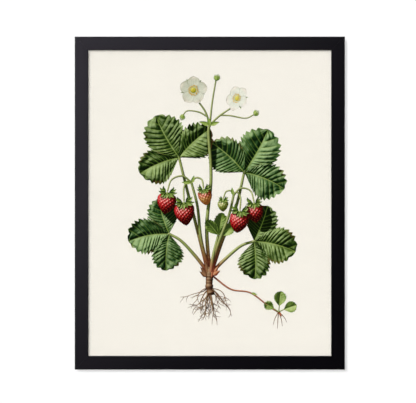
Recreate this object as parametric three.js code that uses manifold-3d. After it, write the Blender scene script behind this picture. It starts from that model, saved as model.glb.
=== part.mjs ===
// Framed print, 16 x 20 in: a mitred black wooden frame with glass, a printed sheet, a foam
// board and a hardboard back held by turn buttons, hung from a sawtooth hanger.
//
// Millimetres, +Z up, +X to the viewer's right, the picture faces -Y. The plane y = 0 is the
// wall. The origin is the hanging point: the middle notch of the sawtooth hanger, where the
// wall nail bears.
import * as THREE from "three";
import { mergeVertices } from "three/addons/utils/BufferGeometryUtils.js";
import Module from "manifold-3d";

const wasm = await Module();
wasm.setup();

// ---- driving dimensions -------------------------------------------------------------------
const OUTER_W = 438; // frame, outside width
const OUTER_H = 540; // frame, outside height
const FACE = 22; // width of the moulding's front face
const DEPTH = 18; // depth of the moulding, front to back
const RABBET_W = 7; // width of the front lip, about 6 mm of it over the sheet and the rest clearance
const RABBET_D = 12; // depth of the rabbet behind the lip
const EASE = 1.0; // rounding of the front edges
const STANDOFF = 3.4; // wall to the frame's back
const HANG_DROP = 12; // top edge of the frame above the hanging point
const MITRE_GAP = 0.03; // each side of a mitre

const SHEET_W = 406.4; // 16 in
const SHEET_H = 508; // 20 in
const GLASS_T = 2.0;
const PRINT_T = 0.3;
const BOARD_T = 5.0; // foam board
const PANEL_T = 3.0; // hardboard back
const LIP_GAP = 0.25; // lip to glass
const INK_GAP = 0.6; // glass to print
const LAYER_GAP = 0.25; // between the sheets behind

const PIVOT_U = 8; // turn button pivot, in from the frame's outer edge
const BUTTON_T = 1.0;
const BUTTON_R = 5.2; // round end at the pivot
const BUTTON_TAIL = 17; // pivot to the centre of the tail's round end
const BUTTON_TAIL_R = 3.2;
const BUTTON_HOLE_R = 1.9;
const SCREW_HEAD_R = 3.1;
const SCREW_HEAD_H = 1.5;
const SCREW_SHANK_R = 1.5;
const SCREW_LENGTH = 10; // under the frame's back
const PILOT_R = 1.62;

const VNAIL_AT = [4.2, 9.4]; // along the mitre, as distance in from the outer edge
const VNAIL_T = 0.6;
const VNAIL_WING = 3.6;
const VNAIL_LENGTH = 7;
const VNAIL_GAP = 0.06;

const HANGER_HALF = 23; // half length of the sawtooth strip
const HANGER_T = 1.0;
const HANGER_UP = 7.4; // strip above the hanging point
const TOOTH = 1.6; // depth of a tooth
const TOOTH_PITCH = 3.0;
const TOOTH_COUNT = 7; // notches, the middle one at x = 0
const NAIL_X = 19.6;

const BUMPER_R = 5;
const BUMPER_X = 186;

// ---- derived ------------------------------------------------------------------------------
const Z_TOP = HANG_DROP;
const Z_BOTTOM = HANG_DROP - OUTER_H;
const Z_MID = (Z_TOP + Z_BOTTOM) / 2;
const Y_BACK = -STANDOFF; // back of the frame
const Y_FRONT = Y_BACK - DEPTH;
const Y_SHELF = Y_BACK - RABBET_D; // back of the lip

// ---- materials ----------------------------------------------------------------------------
const mat = (color, roughness, metalness = 0, extra = {}) =>
  new THREE.MeshStandardMaterial({ color, roughness, metalness, ...extra });
const blackWood = mat(0x222125, 0.45);
const glass = mat(0xf2f6f5, 0.05, 0, { transparent: true, opacity: 0.2 });
const paper = mat(0xf5f1e6, 0.9);
const board = mat(0xeeeeec, 0.85);
const hardboard = mat(0x8a6646, 0.75);
const zinc = mat(0xb9bcbf, 0.35, 1);
const brassed = mat(0xb89552, 0.35, 1);
const steel = mat(0x9a9da1, 0.4, 1);
const rubber = mat(0x2a2a2c, 0.85);

// ---- solids helpers -----------------------------------------------------------------------
// A three.js geometry as a manifold-3d solid.
function solid(geometry) {
  const g = (geometry.index ? geometry.toNonIndexed() : geometry).clone();
  g.deleteAttribute("normal");
  g.deleteAttribute("uv");
  const m = mergeVertices(g, 1e-4);
  return new wasm.Manifold(
    new wasm.Mesh({
      numProp: 3,
      vertProperties: new Float32Array(m.attributes.position.array),
      triVerts: new Uint32Array(m.index.array),
    }),
  );
}

// A manifold-3d solid as a three.js geometry.
function geometryOf(s) {
  const m = s.getMesh();
  const v = new Float32Array(m.numVert * 3);
  for (let i = 0; i < m.numVert; i++)
    v.set(m.vertProperties.subarray(i * m.numProp, i * m.numProp + 3), i * 3);
  const g = new THREE.BufferGeometry();
  g.setAttribute("position", new THREE.BufferAttribute(v, 3));
  g.setIndex(new THREE.BufferAttribute(new Uint32Array(m.triVerts), 1));
  g.computeVertexNormals();
  return g;
}

const cut = (geometry, tools) =>
  geometryOf(tools.reduce((s, t) => s.subtract(solid(t)), solid(geometry)));

function named(name, geometry, material, parent) {
  const mesh = new THREE.Mesh(geometry, material);
  mesh.name = name;
  parent.add(mesh);
  return mesh;
}

// ---- the moulding -------------------------------------------------------------------------
// Profile in (u, v): u runs in from the frame's outer edge, v runs forward from its back.
function mouldingProfile() {
  const p = new THREE.Shape();
  p.moveTo(0.4, 0);
  p.lineTo(FACE - RABBET_W, 0);
  p.lineTo(FACE - RABBET_W, RABBET_D);
  p.lineTo(FACE, RABBET_D);
  p.lineTo(FACE, DEPTH - EASE);
  p.absarc(FACE - EASE, DEPTH - EASE, EASE, 0, Math.PI / 2, false);
  p.lineTo(EASE, DEPTH);
  p.absarc(EASE, DEPTH - EASE, EASE, Math.PI / 2, Math.PI, false);
  p.lineTo(0, 0.4);
  p.lineTo(0.4, 0);
  return p;
}

// The V shape of a corner nail, along the mitre (x) and across it (y), grown by `grow`.
function vnailShape(grow) {
  const h = VNAIL_T / 2 + grow;
  const a = Math.PI / 180 * 52; // wing angle from the mitre line
  const tip = VNAIL_WING + grow;
  const c = Math.cos(a),
    s = Math.sin(a);
  const s2 = new THREE.Shape();
  // outer side of the V, then back along the inner side
  s2.moveTo(tip * c - h * s, -(tip * s + h * c));
  s2.lineTo(tip * c + h * s, -(tip * s - h * c));
  s2.lineTo(h / s, 0);
  s2.lineTo(tip * c + h * s, tip * s - h * c);
  s2.lineTo(tip * c - h * s, tip * s + h * c);
  s2.lineTo(-h / s, 0);
  s2.closePath();
  return s2;
}

// A mitred rail in its own frame (u, v, w): w runs along the rail from its first corner.
function railGeometry(length, holes) {
  const g = new THREE.ExtrudeGeometry(mouldingProfile(), {
    depth: length,
    bevelEnabled: false,
    curveSegments: 4,
  });
  const p = g.getAttribute("position");
  for (let i = 0; i < p.count; i++) {
    const u = p.getX(i);
    p.setZ(i, p.getZ(i) < length / 2 ? u + MITRE_GAP : length - u - MITRE_GAP);
  }
  const tools = holes.map(([w, r, deep, u]) =>
    new THREE.CylinderGeometry(r, r, deep + 1, 16).translate(u, deep / 2 - 0.5, w),
  );
  const up = new THREE.Vector3(0, 1, 0);
  for (const end of [0, 1])
    for (const at of VNAIL_AT) {
      const along = new THREE.Vector3(1, 0, end ? -1 : 1).normalize();
      const across = new THREE.Vector3().crossVectors(up, along);
      const m = new THREE.Matrix4()
        .makeBasis(along, across, up)
        .setPosition(at, -1, end ? length - at : at);
      tools.push(
        new THREE.ExtrudeGeometry(vnailShape(VNAIL_GAP), {
          depth: VNAIL_LENGTH + 1.15,
          bevelEnabled: false,
        }).applyMatrix4(m),
      );
    }
  return cut(g, tools);
}

const v = new THREE.Vector3(0, -1, 0);
const RAILS = {
  rail_top: {
    from: [OUTER_W / 2, Z_TOP],
    u: [0, -1],
    length: OUTER_W,
    buttons: [OUTER_W / 2 - 128, OUTER_W / 2 + 128],
    nails: [OUTER_W / 2 - NAIL_X, OUTER_W / 2 + NAIL_X],
  },
  rail_left: {
    from: [-OUTER_W / 2, Z_TOP],
    u: [1, 0],
    length: OUTER_H,
    buttons: [OUTER_H / 2 - 150, OUTER_H / 2 + 150],
    nails: [],
  },
  rail_bottom: {
    from: [-OUTER_W / 2, Z_BOTTOM],
    u: [0, 1],
    length: OUTER_W,
    buttons: [OUTER_W / 2 - 128, OUTER_W / 2 + 128],
    nails: [],
  },
  rail_right: {
    from: [OUTER_W / 2, Z_BOTTOM],
    u: [-1, 0],
    length: OUTER_H,
    buttons: [OUTER_H / 2 - 150, OUTER_H / 2 + 150],
    nails: [],
  },
};

// ---- small hardware -----------------------------------------------------------------------
// Turned parts stand on the Y axis, which is the axis of LatheGeometry. y = 0 is the seat.
function screwGeometry() {
  const r = SCREW_HEAD_R,
    h = SCREW_HEAD_H,
    s = SCREW_SHANK_R;
  const points = [
    [0, -SCREW_LENGTH - BUTTON_T],
    [s, -SCREW_LENGTH - BUTTON_T + 2.6],
    [s, 0],
    [r, 0],
    [r, h * 0.35],
    [r * 0.86, h * 0.72],
    [r * 0.55, h * 0.94],
    [0, h],
  ].map(([x, y]) => new THREE.Vector2(x, y));
  const body = new THREE.LatheGeometry(points, 20);
  const slot = new THREE.BoxGeometry(0.75, 2, 3.7).translate(0, h - 0.95 + 1, 0);
  const slot2 = new THREE.BoxGeometry(3.7, 2, 0.75).translate(0, h - 0.95 + 1, 0);
  return cut(body, [slot, slot2]);
}

function hangerNailGeometry() {
  const points = [
    [0, -9.5],
    [0.7, -8],
    [0.7, 0],
    [2.0, 0],
    [1.75, 0.5],
    [1.1, 0.82],
    [0, 0.9],
  ].map(([x, y]) => new THREE.Vector2(x, y));
  return new THREE.LatheGeometry(points, 16);
}

function bumperGeometry() {
  const r = BUMPER_R,
    t = STANDOFF - 0.1;
  const points = [
    [0, 0],
    [r, 0],
    [r, t * 0.45],
    [r - 0.35, t - 0.55],
    [r - 0.95, t],
    [0, t],
  ].map(([x, y]) => new THREE.Vector2(x, y));
  return new THREE.LatheGeometry(points, 32);
}

// Turn button: a teardrop plate. Its pivot is the origin, its tail points to -Z.
function buttonGeometry() {
  const s = new THREE.Shape();
  const R = BUTTON_R,
    r = BUTTON_TAIL_R,
    d = BUTTON_TAIL;
  const a = Math.acos((R - r) / d); // tangent line's contact angle, from the tail's direction
  // in (x, y) with the tail towards -y
  s.absarc(0, 0, R, -Math.PI / 2 + a, (3 * Math.PI) / 2 - a, false);
  s.absarc(0, -d, r, (3 * Math.PI) / 2 - a, (5 * Math.PI) / 2 - Math.PI + a, false);
  s.closePath();
  const hole = new THREE.Path();
  hole.absarc(0, 0, BUTTON_HOLE_R, 0, 2 * Math.PI, true);
  s.holes.push(hole);
  const g = new THREE.ExtrudeGeometry(s, {
    depth: BUTTON_T,
    bevelEnabled: false,
    curveSegments: 20,
  });
  // stand the plate in the XZ plane, its thickness towards +Y
  return g.rotateX(Math.PI / 2).rotateZ(Math.PI);
}

// Sawtooth strip: bent in the XY plane, standing from z = -TOOTH to z = HANGER_UP.
function hangerGeometry() {
  const t = HANGER_T,
    seat = Y_BACK + 0.05;
  const s = new THREE.Shape();
  s.moveTo(-HANGER_HALF, seat);
  s.lineTo(-16, seat);
  s.lineTo(-13.4, -t);
  s.lineTo(13.4, -t);
  s.lineTo(16, seat);
  s.lineTo(HANGER_HALF, seat);
  s.lineTo(HANGER_HALF, seat + t);
  s.lineTo(15.6, seat + t);
  s.lineTo(13.0, 0);
  s.lineTo(-13.0, 0);
  s.lineTo(-15.6, seat + t);
  s.lineTo(-HANGER_HALF, seat + t);
  s.closePath();
  const g = new THREE.ExtrudeGeometry(s, {
    depth: HANGER_UP + TOOTH,
    bevelEnabled: false,
  }).translate(0, 0, -TOOTH);
  const tools = [];
  const half = (TOOTH_COUNT - 1) / 2;
  for (let i = -half; i <= half; i++) {
    const n = new THREE.Shape();
    n.moveTo(-TOOTH_PITCH / 2 - 0.12, -TOOTH - 0.13);
    n.lineTo(TOOTH_PITCH / 2 + 0.12, -TOOTH - 0.13);
    n.lineTo(0, 0);
    n.closePath();
    tools.push(
      new THREE.ExtrudeGeometry(n, { depth: 4, bevelEnabled: false })
        .rotateX(Math.PI / 2)
        .translate(i * TOOTH_PITCH, 2, 0),
    );
  }
  for (const x of [-NAIL_X, NAIL_X])
    tools.push(
      new THREE.CylinderGeometry(1.0, 1.0, 6, 16).translate(x, Y_BACK, HANGER_UP / 2),
    );
  return cut(g, tools);
}

// ---- assembly -----------------------------------------------------------------------------
const picture = new THREE.Group();

const moulding = new THREE.Group();
picture.add(moulding);
const cornerNail = new THREE.ExtrudeGeometry(vnailShape(0), {
  depth: VNAIL_LENGTH,
  bevelEnabled: false,
});
const CORNER_NAMES = {
  rail_top: "top_right",
  rail_left: "top_left",
  rail_bottom: "bottom_left",
  rail_right: "bottom_right",
};
const turnButton = buttonGeometry();
const buttonScrew = screwGeometry();
const hardware = new THREE.Group();
picture.add(hardware);

for (const [name, rail] of Object.entries(RAILS)) {
  const u = new THREE.Vector3(rail.u[0], 0, rail.u[1]);
  const w = new THREE.Vector3().crossVectors(u, v);
  const start = new THREE.Vector3(rail.from[0], Y_BACK, rail.from[1]);
  const holes = [
    ...rail.buttons.map((at) => [at, PILOT_R, SCREW_LENGTH + 0.6, PIVOT_U]),
    ...rail.nails.map((at) => [at, 0.85, 10.2, Z_TOP - HANGER_UP / 2]),
  ];
  const mesh = named(name, railGeometry(rail.length, holes), blackWood, moulding);
  mesh.position.copy(start);
  mesh.quaternion.setFromRotationMatrix(new THREE.Matrix4().makeBasis(u, v, w));

  // two V nails across the mitre at this rail's first corner
  const along = u.clone().add(w).normalize();
  const across = new THREE.Vector3().crossVectors(v, along);
  VNAIL_AT.forEach((at, i) => {
    const nail = named(
      `corner_nail_${CORNER_NAMES[name]}_${i ? "inner" : "outer"}`,
      cornerNail,
      steel,
      moulding,
    );
    nail.position
      .copy(start)
      .addScaledVector(u, at)
      .addScaledVector(w, at)
      .addScaledVector(v, 0.05);
    nail.quaternion.setFromRotationMatrix(new THREE.Matrix4().makeBasis(along, across, v));
  });

  // turn buttons and their screws
  rail.buttons.forEach((at, i) => {
    const pivot = start.clone().addScaledVector(u, PIVOT_U).addScaledVector(w, at);
    const side = name.slice(5);
    const end = {
      top: ["right", "left"],
      left: ["upper", "lower"],
      bottom: ["left", "right"],
      right: ["lower", "upper"],
    }[side][i];
    const button = named(`turn_button_${side}_${end}`, turnButton, zinc, hardware);
    button.position.set(pivot.x, Y_BACK + 0.15, pivot.z);
    // the tail points in from the rail, along u
    button.rotation.y = Math.atan2(-u.x, -u.z);
    const screw = named(`button_screw_${side}_${end}`, buttonScrew, brassed, hardware);
    screw.position.set(pivot.x, Y_BACK + 0.15 + BUTTON_T + 0.1, pivot.z);
  });
}

// the sheets in the rabbet, from the front
const contents = new THREE.Group();
contents.position.set(0, 0, Z_MID);
picture.add(contents);
let y = Y_SHELF + LIP_GAP;
for (const [name, t, material, gap] of [
  ["glazing", GLASS_T, glass, INK_GAP],
  ["print_sheet", PRINT_T, paper, LAYER_GAP],
  ["backing_board", BOARD_T, board, LAYER_GAP],
  ["back_panel", PANEL_T, hardboard, 0],
]) {
  const sheet = named(name, new THREE.BoxGeometry(SHEET_W, t, SHEET_H), material, contents);
  sheet.position.y = y + t / 2;
  y += t + gap;
}

// hanging hardware
named("sawtooth_hanger", hangerGeometry(), zinc, hardware);
for (const [side, x] of [
  ["left", -NAIL_X],
  ["right", NAIL_X],
]) {
  const nail = named(`hanger_nail_${side}`, hangerNailGeometry(), zinc, hardware);
  nail.position.set(x, Y_BACK + 0.05 + HANGER_T + 0.05, HANGER_UP / 2);
}
for (const [side, x] of [
  ["left", -BUMPER_X],
  ["right", BUMPER_X],
]) {
  const bumper = named(`wall_bumper_${side}`, bumperGeometry(), rubber, hardware);
  bumper.position.set(x, Y_BACK + 0.1, Z_BOTTOM + (FACE - RABBET_W) / 2);
}

export default picture;
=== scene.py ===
import math

import bpy
import bmesh
import numpy as np
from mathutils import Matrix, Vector


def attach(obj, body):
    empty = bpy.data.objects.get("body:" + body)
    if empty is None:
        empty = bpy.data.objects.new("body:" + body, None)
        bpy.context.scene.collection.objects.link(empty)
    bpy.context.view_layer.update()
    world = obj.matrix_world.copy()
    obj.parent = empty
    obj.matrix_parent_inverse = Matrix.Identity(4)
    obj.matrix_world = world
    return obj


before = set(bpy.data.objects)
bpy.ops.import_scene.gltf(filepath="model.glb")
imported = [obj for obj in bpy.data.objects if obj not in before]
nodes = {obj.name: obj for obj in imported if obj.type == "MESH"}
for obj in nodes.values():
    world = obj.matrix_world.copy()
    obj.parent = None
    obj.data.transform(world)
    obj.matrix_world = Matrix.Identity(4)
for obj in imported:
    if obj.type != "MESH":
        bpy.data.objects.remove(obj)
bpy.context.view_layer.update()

scene = bpy.context.scene
scene.view_settings.view_transform = "Standard"
scene.view_settings.look = "None"

MM = 0.001


# ---------------------------------------------------------------------------- node helpers
class Mat:
    """A material and short calls to add nodes to it."""

    def __init__(self, name):
        self.m = bpy.data.materials.new(name)
        self.m.use_nodes = True
        self.t = self.m.node_tree
        self.t.nodes.clear()
        self.out = self.n("ShaderNodeOutputMaterial")

    def n(self, kind, **props):
        node = self.t.nodes.new(kind)
        inputs = props.pop("inputs", {})
        for k, v in props.items():
            setattr(node, k, v)
        for k, v in inputs.items():
            self.put(node.inputs[k], v)
        return node

    def put(self, socket, v):
        if isinstance(v, bpy.types.NodeSocket):
            self.t.links.new(v, socket)
        elif isinstance(v, bpy.types.Node):
            self.t.links.new(v.outputs[0], socket)
        else:
            if isinstance(v, (tuple, list)) and socket.type == "RGBA" and len(v) == 3:
                v = (*v, 1.0)
            socket.default_value = v

    def principled(self, **values):
        p = self.n("ShaderNodeBsdfPrincipled")
        for k, v in values.items():
            self.put(p.inputs[k.replace("_", " ")], v)
        self.put(self.out.inputs["Surface"], p.outputs[0])
        return p

    def coord(self, scale=(1, 1, 1), which="Object"):
        c = self.n("ShaderNodeTexCoord")
        m = self.n("ShaderNodeMapping", inputs={"Vector": c.outputs[which], "Scale": scale})
        return m.outputs[0]

    def noise(self, scale, detail=4.0, rough=0.55, vec=None, distortion=0.0, out="Fac"):
        n = self.n("ShaderNodeTexNoise", inputs={"Scale": scale, "Detail": detail, "Roughness": rough, "Distortion": distortion})
        if vec is not None:
            self.put(n.inputs["Vector"], vec)
        return n.outputs[out]

    def ramp(self, fac, stops, interpolation="LINEAR"):
        r = self.n("ShaderNodeValToRGB")
        r.color_ramp.interpolation = interpolation
        e = r.color_ramp.elements
        while len(e) < len(stops):
            e.new(0.5)
        for el, (p, c) in zip(e, stops):
            el.position = p
            el.color = (*c, 1.0) if isinstance(c, (tuple, list)) else (c, c, c, 1.0)
        self.put(r.inputs[0], fac)
        return r.outputs[0]

    def math(self, op, a, b=None, c=None, clamp=False):
        n = self.n("ShaderNodeMath", operation=op, use_clamp=clamp)
        self.put(n.inputs[0], a)
        if b is not None:
            self.put(n.inputs[1], b)
        if c is not None:
            self.put(n.inputs[2], c)
        return n.outputs[0]

    def mix(self, fac, a, b, mode="MIX"):
        n = self.n("ShaderNodeMix", data_type="RGBA", blend_type=mode)
        self.put(n.inputs[0], fac)
        self.put(n.inputs[6], a)
        self.put(n.inputs[7], b)
        return n.outputs[2]

    def span(self, v, a, b, c=0.0, d=1.0, smooth=False):
        n = self.n("ShaderNodeMapRange")
        n.interpolation_type = "SMOOTHSTEP" if smooth else "LINEAR"
        for i, x in enumerate((v, a, b, c, d)):
            self.put(n.inputs[i], x)
        return n.outputs[0]

    def bump(self, height, strength, distance, normal=None):
        b = self.n("ShaderNodeBump", inputs={"Height": height, "Strength": strength, "Distance": distance})
        if normal is not None:
            self.put(b.inputs["Normal"], normal)
        return b.outputs[0]


def give(node, mat):
    o = nodes[node] if isinstance(node, str) else node
    o.data.materials.clear()
    o.data.materials.append(mat.m)


# ---------------------------------------------------------------------------- materials
def black_wood(name, along):
    """Satin black lacquer on wood, with the grain along the rail; bare stained wood at the back."""
    m = Mat(name)
    c = m.n("ShaderNodeTexCoord").outputs["Object"]
    stretch = (1.2, 30, 30) if along == "x" else (30, 30, 1.2)
    g = m.n("ShaderNodeMapping", inputs={"Vector": c, "Scale": stretch}).outputs[0]
    grain = m.noise(6.0, 6.0, 0.6, g, 0.6)
    pores = m.noise(26.0, 3.0, 0.5, g)
    pore = m.span(pores, 0.60, 0.72)
    cloud = m.noise(9.0, 3.0, 0.5, c)
    lacquer = m.ramp(grain, [(0.30, (0.0005, 0.0004, 0.0009)), (0.72, (0.0011, 0.0009, 0.0017))])
    lacquer = m.mix(m.math("MULTIPLY", pore, 0.5), lacquer, (0.0005, 0.0005, 0.0007))
    # the unlacquered back; a mask for the rabbet is made below and not used
    xyz = m.n("ShaderNodeSeparateXYZ", inputs={0: c})
    stain = m.ramp(grain, [(0.30, (0.010, 0.008, 0.007)), (0.50, (0.030, 0.023, 0.018)), (0.70, (0.078, 0.059, 0.044))])
    stain = m.mix(m.math("MULTIPLY", pore, 0.7), stain, (0.012, 0.009, 0.008))
    back = m.span(xyz.outputs[1], -0.00362, -0.00345)
    inside = m.span(xyz.outputs[1], -0.01560, -0.01535)
    geo = m.n("ShaderNodeNewGeometry")
    col = m.mix(back, lacquer, stain)
    rough = m.math("ADD", m.span(grain, 0.3, 0.7, 0.272, 0.308), m.math("MULTIPLY", cloud, 0.02))
    rough = m.math("ADD", rough, m.math("MULTIPLY", back, 0.30))
    h = m.math("ADD", m.math("MULTIPLY", grain, 0.6), m.math("MULTIPLY", pore, -0.8))
    n = m.bump(h, 0.20, 0.00006)
    n = m.bump(m.noise(420.0, 2.0, 0.5, c), 0.10, 0.00003, n)
    m.principled(Base_Color=col, Roughness=rough, Normal=n, Specular_IOR_Level=0.5)
    return m


def build_base_materials():
    rail_h = black_wood("black_wood_h", "x")
    rail_v = black_wood("black_wood_v", "z")
    for n in ("rail_top", "rail_bottom"):
        give(n, rail_h)
    for n in ("rail_left", "rail_right"):
        give(n, rail_v)

    m = Mat("clear_glass")
    c = m.coord()
    # both faces of the pane mirror alike, since nothing bends inside it
    side = m.n("ShaderNodeNewGeometry").outputs["Backfacing"]
    fres = m.n("ShaderNodeFresnel", inputs={"IOR": m.span(side, 0.0, 1.0, 1.5, 1.0 / 1.5)})
    smear = m.noise(14.0, 4.0, 0.6, c, 0.8)
    gl = m.n("ShaderNodeBsdfGlossy", inputs={"Color": (1, 1, 1), "Roughness": m.span(smear, 0.35, 0.75, 0.012, 0.045)})
    tr = m.n("ShaderNodeBsdfTransparent", inputs={"Color": m.ramp(smear, [(0.3, (0.9972, 0.9993, 0.9982)), (0.8, (0.9952, 0.9979, 0.9966))])})
    mx = m.n("ShaderNodeMixShader")
    m.put(mx.inputs[0], fres.outputs[0])
    m.put(mx.inputs[1], tr.outputs[0])
    m.put(mx.inputs[2], gl.outputs[0])
    m.put(m.out.inputs["Surface"], mx.outputs[0])
    give("glazing", m)

    m = Mat("ivory_paper")
    c = m.coord()
    tooth = m.noise(900.0, 3.0, 0.6, c)
    felt = m.noise(260.0, 3.0, 0.6, c)
    cloud = m.noise(14.0, 3.0, 0.5, c)
    base = m.ramp(felt, [(0.30, (0.814, 0.777, 0.708)), (0.72, (0.849, 0.810, 0.740))])
    base = m.mix(m.span(cloud, 0.3, 0.7, 0.0, 0.35), base, (0.825, 0.787, 0.718))
    laid = m.noise(1.0, 2.0, 0.5, m.coord((26.0, 26.0, 150.0)))
    base = m.mix(m.span(laid, 0.34, 0.66, 0.0, 1.0), base, m.mix(1.0, base, (0.984, 0.984, 0.985), "MULTIPLY"))
    n = m.bump(tooth, 0.25, 0.00004)
    n = m.bump(felt, 0.30, 0.00006, n)
    m.principled(Base_Color=base, Roughness=m.span(felt, 0.3, 0.7, 0.86, 0.94), Normal=n, Specular_IOR_Level=0.2)
    give("print_sheet", m)
    paper = m

    m = Mat("foam_board")
    c = m.coord()
    base = m.ramp(m.noise(700.0, 3.0, 0.6, c), [(0.3, (0.74, 0.74, 0.72)), (0.7, (0.82, 0.82, 0.80))])
    n = m.bump(m.noise(900.0, 2.0, 0.6, c), 0.3, 0.00005)
    m.principled(Base_Color=base, Roughness=m.span(m.noise(60.0, 2.0, 0.5, c), 0.3, 0.7, 0.82, 0.92), Normal=n, Specular_IOR_Level=0.25)
    give("backing_board", m)

    # pressed fibre board: long matted fibres, dark specks, a faint calendered shine
    m = Mat("hardboard")
    c = m.coord()
    fib = m.noise(330.0, 6.0, 0.72, c, 2.6)
    blot = m.noise(16.0, 6.0, 0.62, c, 0.8)
    speck = m.noise(520.0, 3.0, 0.6, c, 1.0)
    pale = m.noise(410.0, 3.0, 0.6, m.coord((1.0, 1.0, 1.7)), 1.6)
    base = m.ramp(fib, [(0.30, (0.084, 0.039, 0.017)), (0.50, (0.176, 0.090, 0.042)), (0.70, (0.300, 0.170, 0.086))])
    base = m.mix(m.span(blot, 0.38, 0.66, 0.0, 0.55), base, (0.128, 0.063, 0.029))
    base = m.mix(m.span(pale, 0.62, 0.72, 0.0, 0.60), base, (0.42, 0.27, 0.15))
    base = m.mix(m.span(speck, 0.62, 0.70, 0.0, 0.80), base, (0.040, 0.020, 0.010))
    n = m.bump(fib, 0.35, 0.00008)
    m.principled(Base_Color=base, Roughness=m.span(blot, 0.3, 0.7, 0.52, 0.70), Normal=n, Specular_IOR_Level=0.4)
    give("back_panel", m)

    # zinc plate: fine rolling lines, soft blotches, a few dull scuffs
    def zinc(name, base_a, base_b, tint, lines=(4, 60, 900)):
        m = Mat(name)
        c = m.coord()
        l = m.noise(90.0, 3.0, 0.6, m.coord(lines))
        b = m.noise(240.0, 4.0, 0.6, c, 0.4)
        s = m.noise(620.0, 5.0, 0.7, c, 1.4)
        base = m.ramp(b, [(0.30, base_a), (0.70, base_b)])
        base = m.mix(m.span(s, 0.60, 0.72, 0.0, 0.5), base, tint)
        rough = m.math("ADD", m.span(l, 0.3, 0.7, 0.24, 0.38), m.span(s, 0.58, 0.75, 0.0, 0.18))
        n = m.bump(l, 0.15, 0.00002)
        m.principled(Base_Color=base, Metallic=1.0, Roughness=rough, Normal=n)
        return m

    plate = zinc("zinc_plate", (0.50, 0.51, 0.53), (0.66, 0.67, 0.69), (0.36, 0.37, 0.38), (60, 60, 4))
    for n in nodes:
        if n.startswith(("turn_button", "sawtooth", "hanger_nail")):
            give(n, plate)
    brassy = zinc("yellow_zinc", (0.56, 0.42, 0.20), (0.72, 0.58, 0.32), (0.46, 0.40, 0.30), (60, 60, 60))
    for n in nodes:
        if n.startswith("button_screw"):
            give(n, brassy)
    steel = zinc("nail_steel", (0.34, 0.34, 0.35), (0.48, 0.48, 0.50), (0.20, 0.19, 0.18), (60, 4, 60))
    for n in nodes:
        if n.startswith("corner_nail"):
            give(n, steel)

    m = Mat("bumper_rubber")
    c = m.coord()
    dust = m.noise(500.0, 5.0, 0.65, c)
    base = m.ramp(dust, [(0.35, (0.014, 0.014, 0.015)), (0.72, (0.034, 0.033, 0.032))])
    n = m.bump(m.noise(1500.0, 2.0, 0.5, c), 0.25, 0.00003)
    m.principled(Base_Color=base, Roughness=m.span(dust, 0.3, 0.7, 0.62, 0.82), Normal=n, Specular_IOR_Level=0.4)
    for n in ("wall_bumper_left", "wall_bumper_right"):
        give(n, m)

    # small rounded edges on the pressed pieces: each flat face is made whole first, so no corner folds over
    for n in [n for n in nodes if n.startswith(("turn_button", "sawtooth"))]:
        o = nodes[n]
        weld = o.modifiers.new("weld", "WELD")
        weld.merge_threshold = 1e-5
        flat = o.modifiers.new("flat", "DECIMATE")
        flat.decimate_type = "DISSOLVE"
        flat.angle_limit = math.radians(0.3)
        b = o.modifiers.new("edge", "BEVEL")
        b.width = 0.00014
        b.segments = 3
        b.limit_method = "ANGLE"
        b.angle_limit = math.radians(50)
        b.use_clamp_overlap = False
        b.harden_normals = False

    # turned heads and moulded pads shade as round, and keep their corners crisp
    g = bpy.data.node_groups.new("round_shading", "GeometryNodeTree")
    g.interface.new_socket("Geometry", in_out="INPUT", socket_type="NodeSocketGeometry")
    g.interface.new_socket("Geometry", in_out="OUTPUT", socket_type="NodeSocketGeometry")
    gi, go = g.nodes.new("NodeGroupInput"), g.nodes.new("NodeGroupOutput")
    faces, edges = g.nodes.new("GeometryNodeSetShadeSmooth"), g.nodes.new("GeometryNodeSetShadeSmooth")
    faces.domain, edges.domain = "FACE", "EDGE"
    angle, soft = g.nodes.new("GeometryNodeInputMeshEdgeAngle"), g.nodes.new("FunctionNodeCompare")
    soft.data_type, soft.operation = "FLOAT", "LESS_THAN"
    soft.inputs[1].default_value = math.radians(44)
    g.links.new(gi.outputs[0], faces.inputs["Geometry"])
    g.links.new(faces.outputs["Geometry"], edges.inputs["Geometry"])
    g.links.new(angle.outputs["Unsigned Angle"], soft.inputs[0])
    g.links.new(soft.outputs["Result"], edges.inputs["Shade Smooth"])
    g.links.new(edges.outputs["Geometry"], go.inputs[0])
    for n in [n for n in nodes if n.startswith(("button_screw", "hanger_nail", "wall_bumper"))]:
        o = nodes[n]
        weld = o.modifiers.new("weld", "WELD")
        weld.merge_threshold = 1e-6
        o.modifiers.new("round", "NODES").node_group = g
    return paper


paper_mat = build_base_materials()

# ---------------------------------------------------------------------------- the printed plate
# A wild strawberry plant, of this file's own design. Each leaf, fruit, petal, stem and root is
# a surface in plate space (millimetres from the middle of the sheet: x right, y up, z towards
# the viewer). It is shaded there as a painter would, and then pressed flat into a layer of
# printing ink on the sheet.
LIGHT = np.array([-0.50, 0.58, 0.64])
LIGHT /= np.linalg.norm(LIGHT)
HALF = LIGHT + np.array([0, 0, 1.0])
HALF /= np.linalg.norm(HALF)
rng = np.random.default_rng(11)


def lin(c):
    c = np.asarray(c, float) / 255.0
    return np.where(c <= 0.04045, c / 12.92, ((c + 0.055) / 1.055) ** 2.4)


def smooth(x, a, b):
    x = np.clip((x - a) / (b - a), 0, 1)
    return x * x * (3 - 2 * x)


def tone(v, stops):
    """Colours picked along stops of (position, sRGB), as linear RGB."""
    p = np.array([q for q, _ in stops])
    c = np.array([np.sqrt(lin(k)) for _, k in stops])
    v = np.clip(v, 0, 1)
    return np.stack([np.interp(v, p, c[:, i]) for i in range(3)], -1) ** 2


def blend(a, b, f):
    return a + (b - a) * np.asarray(f)[..., None]


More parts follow.
